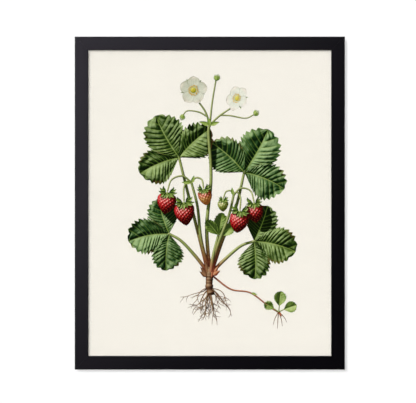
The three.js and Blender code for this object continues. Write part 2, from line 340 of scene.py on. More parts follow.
def vnoise(x, y, seed=0):
    xi, yi = np.floor(x).astype(np.int64), np.floor(y).astype(np.int64)
    u, v = x - xi, y - yi
    u, v = u * u * (3 - 2 * u), v * v * (3 - 2 * v)

    def h(a, b):
        n = (a * 374761393 + b * 668265263 + seed * 974634777) & 0x7FFFFFFF
        n = ((n ^ (n >> 13)) * 1274126177) & 0x7FFFFFFF
        return ((n ^ (n >> 16)) & 0xFFFF) / 65535.0

    return (h(xi, yi) * (1 - u) + h(xi + 1, yi) * u) * (1 - v) + (h(xi, yi + 1) * (1 - u) + h(xi + 1, yi + 1) * u) * v


def fbm(x, y, seed=0, octaves=4, gain=0.5):
    t, a, w = 0.0, 1.0, 0.0
    for i in range(octaves):
        t = t + a * vnoise(x * 2**i + 17.3 * i, y * 2**i - 9.1 * i, seed + i)
        w += a
        a *= gain
    return t / w


def spline(points, n):
    """n points on a smooth curve through points, evenly spaced along it."""
    p = np.asarray(points, float)
    p = np.vstack([2 * p[0] - p[1], p, 2 * p[-1] - p[-2]])
    out = []
    for i in range(1, len(p) - 2):
        t = np.linspace(0, 1, 40, endpoint=False)[:, None]
        a, b, c, d = p[i - 1], p[i], p[i + 1], p[i + 2]
        out.append(0.5 * (2 * b + (c - a) * t + (2 * a - 5 * b + 4 * c - d) * t**2 + (3 * b - a - 3 * c + d) * t**3))
    out = np.vstack([*out, p[-2:-1]])
    k = np.concatenate([[0], np.cumsum(np.linalg.norm(np.diff(out, axis=0), axis=1))])
    q = np.linspace(0, k[-1], n)
    return np.stack([np.interp(q, k, out[:, i]) for i in range(out.shape[1])], -1)


def normals(P):
    """Unit normals of a grid surface, turned to face the viewer."""
    n = np.cross(np.gradient(P, axis=0), np.gradient(P, axis=1))
    n /= np.linalg.norm(n, axis=-1, keepdims=True) + 1e-12
    away = np.sign(np.median(n[..., 2])) or 1.0
    n = n * away
    return n


class Layer:
    """One piece of the print: grid surfaces with their shading and painter's colour functions."""

    def __init__(self, name):
        self.name, self.parts = name, []

    def add(self, P, paint, lift=0.0, both=True):
        """paint(shade, spec) gives the colours once cast shadows are known."""
        P = np.asarray(P, float).copy()
        P[..., 2] += lift
        self.parts.append((P, normals(P), paint))


layers = {}


def layer(name):
    return layers.setdefault(name, Layer(name))


GREEN = [(0.0, (11, 22, 5)), (0.18, (23, 41, 12)), (0.38, (47, 70, 23)), (0.56, (78, 101, 41)), (0.72, (112, 135, 64)), (0.86, (152, 174, 102)), (1.0, (198, 212, 152))]
GREEN_COOL = [(0.0, (9, 22, 8)), (0.18, (19, 42, 16)), (0.38, (40, 72, 32)), (0.56, (68, 103, 52)), (0.72, (104, 139, 80)), (0.86, (147, 177, 118)), (1.0, (198, 215, 168))]
GREEN_YOUNG = [(0.0, (46, 62, 24)), (0.25, (74, 98, 36)), (0.5, (116, 142, 58)), (0.75, (164, 182, 96)), (1.0, (216, 222, 158))]
STEM = [(0.0, (52, 58, 28)), (0.3, (92, 106, 48)), (0.6, (140, 152, 80)), (0.85, (188, 194, 126)), (1.0, (216, 216, 160))]
STEM_RED = [(0.0, (74, 30, 22)), (0.3, (124, 56, 38)), (0.6, (170, 96, 66)), (0.85, (208, 150, 108)), (1.0, (226, 184, 146))]
BARK = [(0.0, (38, 24, 17)), (0.3, (78, 50, 34)), (0.6, (126, 86, 58)), (0.85, (176, 134, 96)), (1.0, (212, 178, 138))]
ROOT = [(0.0, (52, 34, 24)), (0.3, (96, 66, 45)), (0.6, (142, 104, 72)), (0.85, (186, 150, 110)), (1.0, (216, 188, 150))]
BERRY = [(0.0, (44, 3, 6)), (0.18, (96, 5, 12)), (0.38, (156, 10, 22)), (0.58, (204, 22, 36)), (0.80, (232, 58, 66)), (1.0, (248, 136, 132))]
BERRY_PALE = [(0.0, (120, 70, 30)), (0.25, (176, 120, 60)), (0.5, (214, 170, 104)), (0.75, (232, 206, 150)), (1.0, (246, 234, 200))]
BERRY_GREEN = [(0.0, (62, 72, 24)), (0.25, (106, 120, 48)), (0.5, (152, 164, 84)), (0.75, (196, 204, 132)), (1.0, (230, 234, 190))]
PETAL = [(0.0, (138, 142, 120)), (0.3, (186, 188, 166)), (0.55, (222, 222, 206)), (0.78, (242, 242, 232)), (1.0, (253, 253, 249))]


def leaflet(name, base, ang, length, width, z=0.0, bend=0.0, fold=0.20, droop=0.10, roll=0.12, asym=0.0, teeth=9, seed=0, ramp=GREEN, ns=120, nt=53, under=False, tilt=0.0):
    """A toothed leaflet from base, its midrib leaving at ang degrees."""
    r = np.random.default_rng(1000 + seed)
    q = np.linspace(0, 1, ns)[:, None] * np.ones((1, nt))
    t = np.linspace(-1, 1, nt)[None, :] * np.ones((ns, 1))
    # denser lines at the margin
    t = np.sign(t) * (1 - (1 - np.abs(t)) ** 1.25)
    s = 1 - (1 - q) ** (1 / 1.85)
    kq = [0, 0.05, 0.14, 0.27, 0.42, 0.58, 0.72, 0.84, 0.93, 0.98, 1.0]
    kw = [0.03, 0.16, 0.40, 0.70, 0.93, 1.0, 0.93, 0.74, 0.46, 0.22, 0.0]
    w = np.interp(q, kq, kw)
    kernel = np.ones(7) / 7
    col = np.convolve(np.pad(w[:, 0], 3, mode="edge"), kernel, "valid")
    col[0], col[-1] = w[0, 0], 0.0
    w = col[:, None] * np.ones((1, nt)) * width
    a = np.abs(t)
    side = 1 + asym * np.sign(t) * (1 - 0.3 * q)
    # teeth: slow rise to a forward tip, a quick fall to the notch
    q0, fp = 0.16, 0.66
    phase = (q - q0) / (1 - q0) * teeth + 0.18 * np.sign(t) * (q > q0)
    jit = 0.10 * np.sin(phase * 2.1 + seed)
    phase = phase + jit
    f = phase - np.floor(phase)
    rise = (f / fp) ** 0.80
    fall = ((1 - f) / (1 - fp)) ** 0.9
    tooth = np.where(f < fp, rise, fall)
    on = smooth(q, q0 - 0.01, q0 + 0.12) * smooth(1 - q, -0.005, 0.05)
    bite = (0.150 * width * (tooth - 0.45)) * on * (0.8 + 0.4 * r.random())
    edge = a**7
    across = (w * side * a**1.02 + bite * edge) * np.sign(t)
    along = length * (s + (q - s) * a**1.22) + (0.075 * width * (tooth - 0.5)) * on * edge
    # midrib on a gentle arc
    m = np.linspace(-0.05, 1.25, 400)
    th = np.radians(ang + bend * (m - 0.3))
    mx = np.concatenate([[0], np.cumsum((np.cos(th[1:]) + np.cos(th[:-1])) / 2 * np.diff(m))])
    my = np.concatenate([[0], np.cumsum((np.sin(th[1:]) + np.sin(th[:-1])) / 2 * np.diff(m))])
    mx -= np.interp(0, m, mx)
    my -= np.interp(0, m, my)
    al = along / length
    cx, cy = np.interp(al, m, mx) * length, np.interp(al, m, my) * length
    ct = np.radians(ang + bend * (al - 0.3))
    X = base[0] + cx - np.sin(ct) * across
    Y = base[1] + cy + np.cos(ct) * across
    # relief: pleats between the lateral veins, a fold on the midrib, edges that roll away
    dv = np.abs(f - fp)
    dv = np.minimum(dv, 1 - dv)
    pleat = np.sin(np.pi * dv) ** 0.75
    env = smooth(a, 0.02, 0.30) * (1 - 0.55 * a**3)
    wob = fbm(q * 3 + seed, t * 1.5 + 5, seed, 3) - 0.5
    fine = fbm(q * 34, t * 17, seed + 9, 3) - 0.5
    Z = z + fold * width * a**1.15 - roll * width * a**3.2 - droop * length * (s - 0.35) ** 2 * 1.3
    Z = Z + 0.038 * width * pleat * env * (0.55 + 0.9 * fbm(q * 4, t * 2, seed + 50, 2)) + 0.30 * width * wob * (0.3 + a) + 0.014 * width * fine * env
    Z = Z + tilt * across
    P = np.stack([X, Y, Z], -1)
    vein_w = 0.085 - 0.050 * a
    vein = np.exp(-((dv / vein_w) ** 2)) * (1 - smooth(a, 0.88, 1.0)) * smooth(q, 0.02, 0.12)
    rib = np.exp(-((a * w / (0.62 * (1 - 0.6 * q) + 0.16)) ** 2))
    # finer veins between, as a net
    net_u = np.abs(((phase * 5.0 + 0.9 * fbm(q * 20, t * 9, seed, 2)) % 1.0) - 0.5) * 2
    net_v = np.abs(((a * 15 + 1.2 * fbm(q * 24 + 3, t * 12, seed + 4, 2)) % 1.0) - 0.5) * 2
    net = np.maximum(smooth(net_u, 0.80, 1.0), smooth(net_v, 0.82, 1.0)) * smooth(a, 0.05, 0.2) * (1 - a**4)
    streak = fbm(phase * 6.0, a * 5.0, seed + 3, 3) - 0.5
    blot = fbm(q * 5 + 3 * seed, t * 4, seed + 21, 3) - 0.5
    rim = smooth(a, 0.965, 1.0)
    tip_red = smooth(fbm(q * 4, t * 3, seed + 31, 2), 0.52, 0.75) * smooth(a, 0.80, 1.0)
    stops = ramp
    key = r.uniform(-0.05, 0.05)

    def paint(shade, spec):
        v = 0.365 + key + 1.62 * (shade - 0.56) + 0.11 * streak + 0.13 * blot
        v = v - 0.06 * net
        c = tone(v, stops)
        if under:
            c = blend(c, tone(v, GREEN_COOL) * 0.6 + 0.22, 0.55)
        vein_c = tone(0.30 + 0.62 * v, GREEN_YOUNG)
        c = blend(c, vein_c, 0.66 * vein)
        c = blend(c, tone(0.46 + 0.50 * v, GREEN_YOUNG), 0.90 * rib)
        c = blend(c, lin((196, 214, 160))[None, None], np.clip(spec**1.5 * 0.50 - 0.05, 0, 0.55) * (1 - 0.5 * vein))
        c = blend(c, lin((150, 86, 52))[None, None], 0.30 * tip_red)
        c = blend(c, tone(0.55 * v + 0.34, GREEN_YOUNG), 0.75 * rim)
        return c

    layer(name).add(P, paint)


def stem(name, points, r0, r1, z=None, n=None, ramp=STEM, ramp2=None, mixat=(0.0, 0.0), across=9, seed=0, knots=0.0):
    """A round stalk along points, thinning from r0 to r1."""
    pts = np.asarray(points, float)
    if pts.shape[1] == 2:
        pts = np.hstack([pts, np.full((len(pts), 1), 0.0 if z is None else z)])
    length = np.linalg.norm(np.diff(pts, axis=0), axis=1).sum()
    n = n or max(8, int(length / 1.6))
    c = spline(pts, n)
    d = np.gradient(c[:, :2], axis=0)
    d /= np.linalg.norm(d, axis=1, keepdims=True) + 1e-9
    nrm = np.stack([-d[:, 1], d[:, 0]], -1)
    k = np.linspace(0, 1, n)
    rad = r0 + (r1 - r0) * k
    rad = rad * (1 + knots * (fbm(k * length / 5, k * 0 + seed, seed, 2) - 0.5))
    u = np.linspace(-1, 1, across)
    phi = u * math.pi / 2 * 0.995
    P = np.zeros((n, across, 3))
    P[..., 0] = c[:, None, 0] + nrm[:, None, 0] * np.sin(phi) * rad[:, None]
    P[..., 1] = c[:, None, 1] + nrm[:, None, 1] * np.sin(phi) * rad[:, None]
    P[..., 2] = c[:, None, 2] + np.cos(phi) * rad[:, None]
    kk = k[:, None] * np.ones((1, across))
    uu = u[None] * np.ones((n, 1))
    st = fbm(kk * length / 2.5, uu * 2.2, seed + 5, 3) - 0.5
    m2 = smooth(kk, *mixat) if mixat[1] > mixat[0] else 1 - smooth(kk, mixat[1], mixat[0]) if mixat[0] > mixat[1] else 0 * kk

    def paint(shade, spec):
        v = 0.46 + 1.15 * (shade - 0.52) + 0.16 * st
        col = tone(v, ramp)
        if ramp2 is not None:
            col = blend(col, tone(v, ramp2), m2)
        col = blend(col, lin((226, 224, 184))[None, None], np.clip(0.20 * spec, 0, 0.3))
        return blend(col, col * 0.45, smooth(np.abs(uu), 0.80, 1.0) * 0.6)

    layer(name).add(P, paint)
    return c


def lance(name, base, ang, length, width, z=0.0, bend=0.0, cup=0.25, ramp=GREEN_YOUNG, ns=26, nt=11, seed=0, lift=0.0, tip=0.9, waist=0.35, line=0.5):
    """A small plain blade, such as a sepal, a scale or a stipule."""
    q = np.linspace(0, 1, ns)[:, None] * np.ones((1, nt))
    t = np.linspace(-1, 1, nt)[None] * np.ones((ns, 1))
    w = width * (np.clip(q / waist, 0, 1) ** 0.6 * (1 - smooth(q, waist, 1.0) * 0.0)) * (1 - np.clip((q - waist) / (1 - waist), 0, 1) ** 1.5) ** tip
    th = np.radians(ang + bend * q)
    X = base[0] + np.cumsum(np.cos(th), 0) * length / ns - np.sin(th) * w * t
    Y = base[1] + np.cumsum(np.sin(th), 0) * length / ns + np.cos(th) * w * t
    Z = z + cup * width * np.abs(t) ** 1.5 + lift * length * q * (1 - 0.6 * q)
    P = np.stack([X, Y, Z], -1)
    st = fbm(q * 9, t * 4 + seed, seed, 3) - 0.5
    rib = np.exp(-((t / 0.16) ** 2)) * (1 - q)

    def paint(shade, spec):
        v = shade + 0.14 * st
        c = tone(v, ramp)
        c = blend(c, tone(v + 0.22, ramp), 0.5 * rib)
        return blend(c, c * 0.5, smooth(np.abs(t), 0.78, 1.0) * line)

    layer(name).add(P, paint)


def berry(name, top, ang, length, radius, z=0.0, ramp=BERRY, seed=0, ripe=1.0, sepals=11):
    """A strawberry hanging from top, its tip towards ang degrees."""
    nv, nu = 74, 66
    v = np.linspace(0, 1, nv)[:, None] * np.ones((1, nu))
    u = np.linspace(-1, 1, nu)[None] * np.ones((nv, 1))
    psi = u * math.pi / 2 * 0.998
    kv = [0, 0.04, 0.10, 0.20, 0.33, 0.48, 0.64, 0.78, 0.89, 0.96, 1.0]
    kr = [0.18, 0.52, 0.78, 0.96, 1.0, 0.96, 0.83, 0.62, 0.39, 0.19, 0.0]
    fine_v = np.linspace(0, 1, 400)
    fr = np.interp(fine_v, kv, kr)
    fr = np.convolve(np.pad(fr, 14, mode="reflect", reflect_type="odd"), np.ones(29) / 29, "valid")
    fr[-1] = 0
    rad = np.interp(v, fine_v, fr) * radius
    # seeds on a spiral, each in its dimple
    count = int(2.7 * length * radius / 11.5)
    k = np.arange(count)
    area = np.cumsum(fr)
    sv = np.interp((k + 0.5) / count, area / area[-1], fine_v)
    sp = (k * 2.39996 + seed) % (2 * math.pi) - math.pi
    keep = (np.abs(sp) < math.pi / 2 * 0.97) & (sv > 0.04) & (sv < 0.985)
    sv, sp = sv[keep], sp[keep]
    near = np.full(v.shape, 1e9)
    offx = np.zeros(v.shape)
    offy = np.zeros(v.shape)
    for a, b in zip(sv, sp):
        dx = (psi - b) * np.interp(a, fine_v, fr) * radius
        dy = (v - a) * length
        dd = np.sqrt((dx / 0.82) ** 2 + (dy / 1.15) ** 2)
        m = dd < near
        near = np.where(m, dd, near)
        offx = np.where(m, dx, offx)
        offy = np.where(m, dy, offy)
    dimple = np.exp(-((near / 1.45) ** 2))
    seed_m = 1 - smooth(near, 0.42, 0.78)
    puff = smooth(near, 0.8, 2.6)
    rr = rad * (1 + 0.030 * puff - 0.050 * dimple) + 0.25 * seed_m * smooth(rad, 0.5, 2)
    bow = 0.06 * length * np.sin(v * math.pi) * (1 if seed % 2 else -1)
    lx = rr * np.sin(psi) * (1 + 0.03 * np.sin(3 * v + seed)) + bow * 0.4
    ly = v * length
    th = math.radians(ang)
    X = top[0] + ly * math.cos(th) - lx * math.sin(th)
    Y = top[1] + ly * math.sin(th) + lx * math.cos(th)
    Z = z + rr * np.cos(psi) * 1.05 + 0.06 * length * np.sin(v * math.pi)
    P = np.stack([X, Y, Z], -1)
    blush = fbm(v * 3 + seed, u * 2, seed + 40, 3)
    pale = (1 - smooth(v, 0.0, 0.16)) * 0.55
    limb = smooth(np.abs(u), 0.90, 1.0)

    def paint(shade, spec):
        w = 0.50 + 1.32 * (shade - 0.50) - 0.09 * dimple + 0.10 * (blush - 0.5)
        c = tone(w, ramp)
        if ripe < 1:
            c = blend(c, tone(w, BERRY), (1 - smooth(v + 0.35 * (blush - 0.5), ripe - 0.25, ripe + 0.25)) * 0.85)
        c = blend(c, tone(w + 0.1, BERRY_PALE), pale * 0.55)
        # reflected light along the shadow side
        c = blend(c, lin((176, 70, 60))[None, None], 0.28 * limb * (1 - smooth(shade, 0.1, 0.5)))
        seed_c = tone(0.25 + 0.75 * shade + 0.25 * np.clip(-offx * LIGHT[0] - offy, -0.5, 0.5), [(0, (92, 40, 14)), (0.4, (150, 84, 30)), (0.75, (206, 150, 72)), (1, (242, 214, 140))])
        c = blend(c, c * 0.46, 0.48 * np.clip(dimple - seed_m, 0, 1))
        c = blend(c, seed_c, seed_m * 0.74)
        gloss = np.clip(spec, 0, 1) ** 1.0
        c = blend(c, lin((255, 226, 216))[None, None], np.clip(gloss * 1.1, 0, 0.88) * (1 - 0.70 * dimple))
        return c

    paint.gloss = 20
    layer(name).add(P, paint)
    span = 128.0
    order = sorted(range(sepals), key=lambda i: -abs((i + 0.5) / sepals - 0.5))
    for i in order:
        a = -span + (i + 0.5) * 2 * span / sepals + rng.uniform(-6, 6)
        b = math.radians(a)
        # sepals fan out round the stalk and turn up at their tips
        l = radius * (0.86 + 0.22 * rng.random()) * (1.0 - 0.18 * abs(math.cos(b)))
        side = 0.16 * radius * math.sin(b)
        o = (top[0] - math.cos(th) * 0.6 - math.sin(th) * side, top[1] - math.sin(th) * 0.6 + math.cos(th) * side)
        lance(name, o, ang + a * 0.98, l, 0.15 * radius + 0.35, z=z + radius * (0.86 + 0.36 * math.cos(b)), bend=a * 0.62 + rng.uniform(-14, 14), cup=0.5, ramp=GREEN_YOUNG if i % 2 else GREEN, seed=seed + i, lift=0.10, waist=0.32)
    knob = (top[0] - math.cos(th) * 1.4, top[1] - math.sin(th) * 1.4)
    stem(name, [(*knob, z + radius * 1.3), (top[0] + math.cos(th) * 1.4, top[1] + math.sin(th) * 1.4, z + radius * 1.3)], 1.5, 2.1, n=6, ramp=GREEN_YOUNG, seed=seed)


def flower(name, at, size, z=0.0, spin=0.0, squash=1.0, lean=0.0, seed=0):
    """An open flower of five round petals, seen from the front; squash < 1 turns it aside along lean degrees."""
    r = np.random.default_rng(300 + seed)
    ca, sa = math.cos(math.radians(lean)), math.sin(math.radians(lean))

    def turn(P):
        x, y = P[..., 0], P[..., 1]
        # squash along the lean direction, and let depth follow
        u, v = x * ca + y * sa, -x * sa + y * ca
        d = math.sqrt(max(0.0, 1 - squash**2))
        zz = P[..., 2] * squash + u * d
        u = u * squash + P[..., 2] * (-d) * 0.6
        P = P.copy()
        P[..., 0], P[..., 1], P[..., 2] = at[0] + u * ca - v * sa, at[1] + u * sa + v * ca, z + zz * 0.6
        return P

    # sepals behind
    for i in range(5):
        a = math.radians(spin + 36 + 72 * i)
        q = np.linspace(0, 1, 20)[:, None] * np.ones((1, 9))
        t = np.linspace(-1, 1, 9)[None] * np.ones((20, 1))
        w = 0.17 * size * np.sin(np.pi * np.clip(q, 0, 1) ** 0.6) ** 0.8 * (1 - q) ** 0.3
        rad_ = size * (0.15 + 0.78 * q)
        P = np.stack([rad_ * math.cos(a) - w * t * math.sin(a), rad_ * math.sin(a) + w * t * math.cos(a), -3.2 - 1.0 * q + 0.4 * np.abs(t)], -1)
        layer(name).add(turn(P), lambda shade, spec, t=t: blend(tone(shade, GREEN_YOUNG), tone(shade * 0.5, GREEN), smooth(np.abs(t), 0.7, 1.0) * 0.7))
    order = [0, 2, 4, 1, 3]
    for j, i in enumerate(order):
        a = math.radians(spin + 72 * i + r.uniform(-4, 4))
        nq, nt_ = 36, 31
        q = np.linspace(0, 1, nq)[:, None] * np.ones((1, nt_))
        t = np.linspace(-1, 1, nt_)[None] * np.ones((nq, 1))
        q = 1 - (1 - q) ** 1.7
        w = 0.455 * size * np.sin(np.pi * np.clip(q, 0.004, 1) ** 1.22) ** 0.56
        w = w * (1 + 0.05 * np.sin(q * 9 + 2 * i + seed) * np.sign(t) * q)
        rad_ = size * (0.11 + 0.89 * q) + size * 0.016 * np.sin(t * 5 + 3 * i + seed) * q**3
        wob = fbm(q * 3 + i, t * 2 + seed, seed + i, 3) - 0.5
        Z = 1.9 * q**1.4 * size / 18 + 0.14 * size * (np.abs(t) ** 2) * (0.3 + q) * 0.45 + 0.9 * wob + 0.30 * j - 1.9 * smooth(q, 0.80, 1.0) * 0.7
        P = np.stack([rad_ * math.cos(a) - w * t * math.sin(a), rad_ * math.sin(a) + w * t * math.cos(a), Z], -1)
        ray = 0.5 + 0.5 * np.sin(t * 22 + 1.5 * fbm(q * 4, t * 3, seed + i + 7, 2))
        edge = np.maximum(smooth(np.abs(t), 0.93, 1.0), smooth(q, 0.985, 1.0))
        deep = 1 - smooth(q, 0.0, 0.36)

        def paint(shade, spec, q=q, t=t, ray=ray, edge=edge, deep=deep, wob=wob):
            v = 0.02 + 0.84 * shade - 0.14 * deep - 0.10 * smooth(ray, 0.6, 1.0) * smooth(q, 0.05, 0.3) * (1 - smooth(q, 0.6, 0.95)) + 0.10 * wob
            c = tone(v, PETAL)
            c = blend(c, lin((206, 208, 132))[None, None], 0.45 * deep)
            c = blend(c, c * np.array([1.0, 0.80, 0.79]), 0.55 * smooth(q + 0.25 * wob, 0.55, 1.0) * (0.4 + 0.6 * ray))
            return blend(c, lin((112, 110, 84))[None, None], 0.78 * edge)

        layer(name).add(turn(P), paint)
    # the yellow middle
    n = 26
    q = np.linspace(0.0, 1, n)[:, None] * np.ones((1, 40))
    p = np.linspace(0, 2 * math.pi, 40)[None] * np.ones((n, 1))
    rr = 0.20 * size
    P = np.stack([rr * q * np.cos(p), rr * q * np.sin(p), 2.2 + 0.75 * rr * np.sqrt(1 - np.clip(q * 0.98, 0, 1) ** 2)], -1)
    dots = vnoise(P[..., 0] * 2.3 + 50, P[..., 1] * 2.3 + 50, seed + 2)
    layer(name).add(turn(P), lambda shade, spec, dots=dots, q=q: blend(tone(shade + 0.5 * (dots - 0.5), [(0, (104, 104, 22)), (0.4, (168, 158, 40)), (0.75, (220, 204, 84)), (1, (246, 236, 160))]), lin((120, 96, 30))[None, None], 0.5 * smooth(q, 0.85, 1)))
    for i in range(20):
        a = 2 * math.pi * i / 20 + r.uniform(-0.08, 0.08)
        l0, l1 = rr * 0.9, rr * r.uniform(1.35, 1.85)
        fil = np.zeros((2, 3, 3))
        for e, l in enumerate((l0, l1)):
            for g, o in enumerate((-0.16, 0, 0.16)):
                fil[e, g] = (l * math.cos(a) - o * math.sin(a), l * math.sin(a) + o * math.cos(a), 3.4 + 0.9 * e + (0.1 if o == 0 else 0))
        layer(name).add(turn(fil), lambda shade, spec: np.ones(shade.shape + (3,)) * lin((188, 186, 110)))
        n1, n2 = 5, 10
        qq = np.linspace(0.02, 1, n1)[:, None] * np.ones((1, n2))
        pp = np.linspace(0, 2 * math.pi, n2)[None] * np.ones((n1, 1))
        sx, sy = 0.052 * size, 0.036 * size
        X0 = qq * np.cos(pp) * sy
        Y0 = qq * np.sin(pp) * sx
        P = np.stack([l1 * math.cos(a) + X0 * math.cos(a) - Y0 * math.sin(a), l1 * math.sin(a) + X0 * math.sin(a) + Y0 * math.cos(a), 4.9 + 0.5 * np.sqrt(1 - np.clip(qq, 0, 0.99) ** 2)], -1)
        layer(name).add(turn(P), lambda shade, spec, qq=qq: blend(tone(0.2 + 0.8 * shade, [(0, (128, 78, 16)), (0.5, (206, 146, 40)), (1, (248, 214, 112))]), lin((112, 70, 20))[None, None], 0.6 * smooth(qq, 0.75, 1)))


# ---- the composition
CROWN = (0.0, -112.0)


def trifoliate(name, joint, ang, size, z, spread=76.0, petiole=None, ramp=GREEN, seed=0, side=0.90, wide=0.43, order=(0, 1, 2), lift=(0, 0, 0), bends=(0, 0, 0), folds=(0.2, 0.2, 0.2), under=(False, False, False), teeth=9, tilts=(0, 0, 0), scale=(1, 1, 1)):
    """Three leaflets on one joint: the middle one along ang, one to each side."""
    for i in order:
        a = ang + (0, spread, -spread)[i]
        l = size * (1.0, side, side)[i] * scale[i]
        gap = (0.030, 0.012, 0.012)[i] * size
        b = (joint[0] + gap * math.cos(math.radians(a)), joint[1] + gap * math.sin(math.radians(a)))
        stem(name, [(*joint, z + 0.5), (*b, z + 0.8)], 1.7, 1.2, n=6, ramp=STEM, seed=seed + i)
        leaflet(name, b, a, l, l * wide * (1.0, 0.98, 0.98)[i], z=z + lift[i], bend=bends[i], asym=(0.0, 0.13, -0.13)[i], seed=seed + 7 * i, ramp=ramp, fold=folds[i], under=under[i], teeth=teeth, tilt=tilts[i])
    if petiole is not None:
        stem(name, petiole, 3.1, 2.1, ramp=STEM, ramp2=STEM_RED, mixat=(0.55, 0.0), seed=seed + 3)


def compose():
    # back leaves first: z grows towards the viewer
    trifoliate("print_leaf_upper_left", (-50, 74), 122, 76, 2, petiole=[(-3, -112, 8), (-16, -60, 6), (-34, 10, 3), (-50, 74, 2)], seed=3, bends=(-14, 20, -16), lift=(0, -1, 3), folds=(0.24, 0.20, 0.16), ramp=GREEN)
    trifoliate("print_leaf_upper_right", (56, 50), 58, 78, 8, petiole=[(3, -112, 9), (20, -62, 8), (42, -8, 8), (56, 50, 8)], seed=14, bends=(16, 18, -22), lift=(0, 2, 1), folds=(0.18, 0.24, 0.20), ramp=GREEN_COOL, order=(0, 2, 1))
    trifoliate("print_leaf_lower_left", (-66, -50), 186, 66, 16, petiole=[(-3, -113, 10), (-22, -88, 14), (-46, -62, 16), (-66, -50, 16)], seed=25, bends=(22, 16, -14), folds=(0.26, 0.18, 0.22), ramp=GREEN_COOL, order=(0, 1, 2))
    trifoliate("print_leaf_lower_right", (72, -62), -10, 68, 14, petiole=[(3, -113, 10), (24, -92, 13), (50, -70, 14), (72, -62, 14)], seed=36, bends=(-20, 16, -16), folds=(0.22, 0.22, 0.18), ramp=GREEN, order=(0, 2, 1))
    # a young leaf, still folded, in front of the crown
    trifoliate("print_leaf_young", (14, -52), 80, 36, 26, spread=48, petiole=[(2, -112, 22), (5, -88, 26), (14, -52, 26)], seed=47, ramp=GREEN_YOUNG, bends=(6, 10, -10), folds=(0.7, 0.9, 0.9), teeth=7, wide=0.30, side=0.86)

    # flowering stalk
    stem("print_stalks", [(0, -112, 12), (-5, -40, 18), (2, 40, 24), (-2, 112, 26), (0, 128, 26)], 3.2, 2.3, ramp=STEM, ramp2=STEM_RED, mixat=(0.30, 0.0), seed=5)
    stem("print_stalks", [(0, 127, 26), (-8, 150, 27), (-26, 174, 28)], 1.7, 1.3, seed=6)
    stem("print_stalks", [(0, 127, 26), (16, 142, 27), (40, 158, 28)], 1.7, 1.3, seed=7)
    stem("print_stalks", [(0, 127, 26), (4, 164, 26), (10, 200, 26)], 1.6, 1.2, seed=8)
    stem("print_stalks", [(-5, 141, 26.4), (-18, 148, 27), (-36, 150, 28), (-43, 144, 28)], 1.3, 1.0, seed=9)
    stem("print_stalks", [(17, 143, 26.8), (34, 142, 27), (58, 138, 28), (72, 144, 28)], 1.3, 1.0, seed=10)
    for a, l in ((152, 19), (28, 17), (96, 14)):
        lance("print_stalks", (0, 126), a, l, 3.4, z=29.5, bend=18 if a > 90 else -18, ramp=GREEN_YOUNG, seed=int(a), lift=0.1)
    flower("print_flowers", (-27, 184), 23.0, z=34, spin=14, squash=0.97, lean=120, seed=1)
    flower("print_flowers", (45, 170), 21.0, z=34, spin=40, squash=0.80, lean=-25, seed=2)
    bud("print_flowers", (10.5, 199), 80, 11.0, z=28, seed=3)
    bud("print_flowers", (-43, 144), -112, 9.5, z=29, seed=4)
    bud("print_flowers", (72, 143), 48, 10.0, z=29, seed=5)

    # fruiting stalk, arching over to the left
    stem("print_stalks", [(-1, -112, 13), (-14, -60, 30), (-20, -6, 36), (-30, 34, 38)], 2.9, 2.0, ramp=STEM, ramp2=STEM_RED, mixat=(0.50, 0.0), seed=11)
    stem("print_stalks", [(-30, 33, 38), (-44, 44, 40), (-62, 38, 40), (-69, 19, 52)], 1.6, 1.2, seed=12)
    stem("print_stalks", [(-30, 33, 38), (-35, 37, 39), (-42, 25, 41), (-42, 3, 58)], 1.6, 1.2, seed=13)
    stem("print_stalks", [(-30, 33, 38), (-23, 41, 40), (-13, 38, 42), (-10, 24, 55)], 1.6, 1.2, seed=14)
    for a, l in ((165, 16), (62, 14)):
        lance("print_stalks", (-30, 32), a, l, 3.0, z=41, bend=20, ramp=GREEN_YOUNG, seed=int(a) + 1, lift=0.1)
    berry("print_fruit", (-69, 17), -97, 35, 15.0, z=38, seed=1)
    berry("print_fruit", (-42, 1), -84, 38, 16.0, z=44, seed=2)
    berry("print_fruit", (-10, 22), -80, 26, 11.5, z=44, seed=3, ramp=BERRY_PALE, ripe=0.50)

    # a second one to the right
    stem("print_stalks", [(1, -112, 13), (14, -66, 30), (31, -20, 34), (39, 14, 34)], 2.7, 1.9, ramp=STEM, ramp2=STEM_RED, mixat=(0.5, 0.0), seed=21)
    stem("print_stalks", [(39, 13, 34), (50, 24, 35), (66, 20, 36), (72, 2, 48)], 1.5, 1.2, seed=22)
    stem("print_stalks", [(39, 13, 34), (44, 18, 35), (50, 8, 37), (49, -11, 54)], 1.5, 1.2, seed=23)
    stem("print_stalks", [(39, 13, 34), (34, 20, 35), (26, 18, 36), (22, 7, 46)], 1.4, 1.1, seed=24)
    lance("print_stalks", (39, 12), 112, 14, 2.8, z=37, bend=-20, ramp=GREEN_YOUNG, seed=8, lift=0.1)
    berry("print_fruit", (72, 0), -83, 32, 14.0, z=34, seed=4)
    berry("print_fruit", (49, -13), -98, 36, 15.0, z=40, seed=5)
    berry("print_fruit", (22, 5), -92, 19, 8.5, z=38, seed=6, ramp=BERRY_GREEN, ripe=1.0)

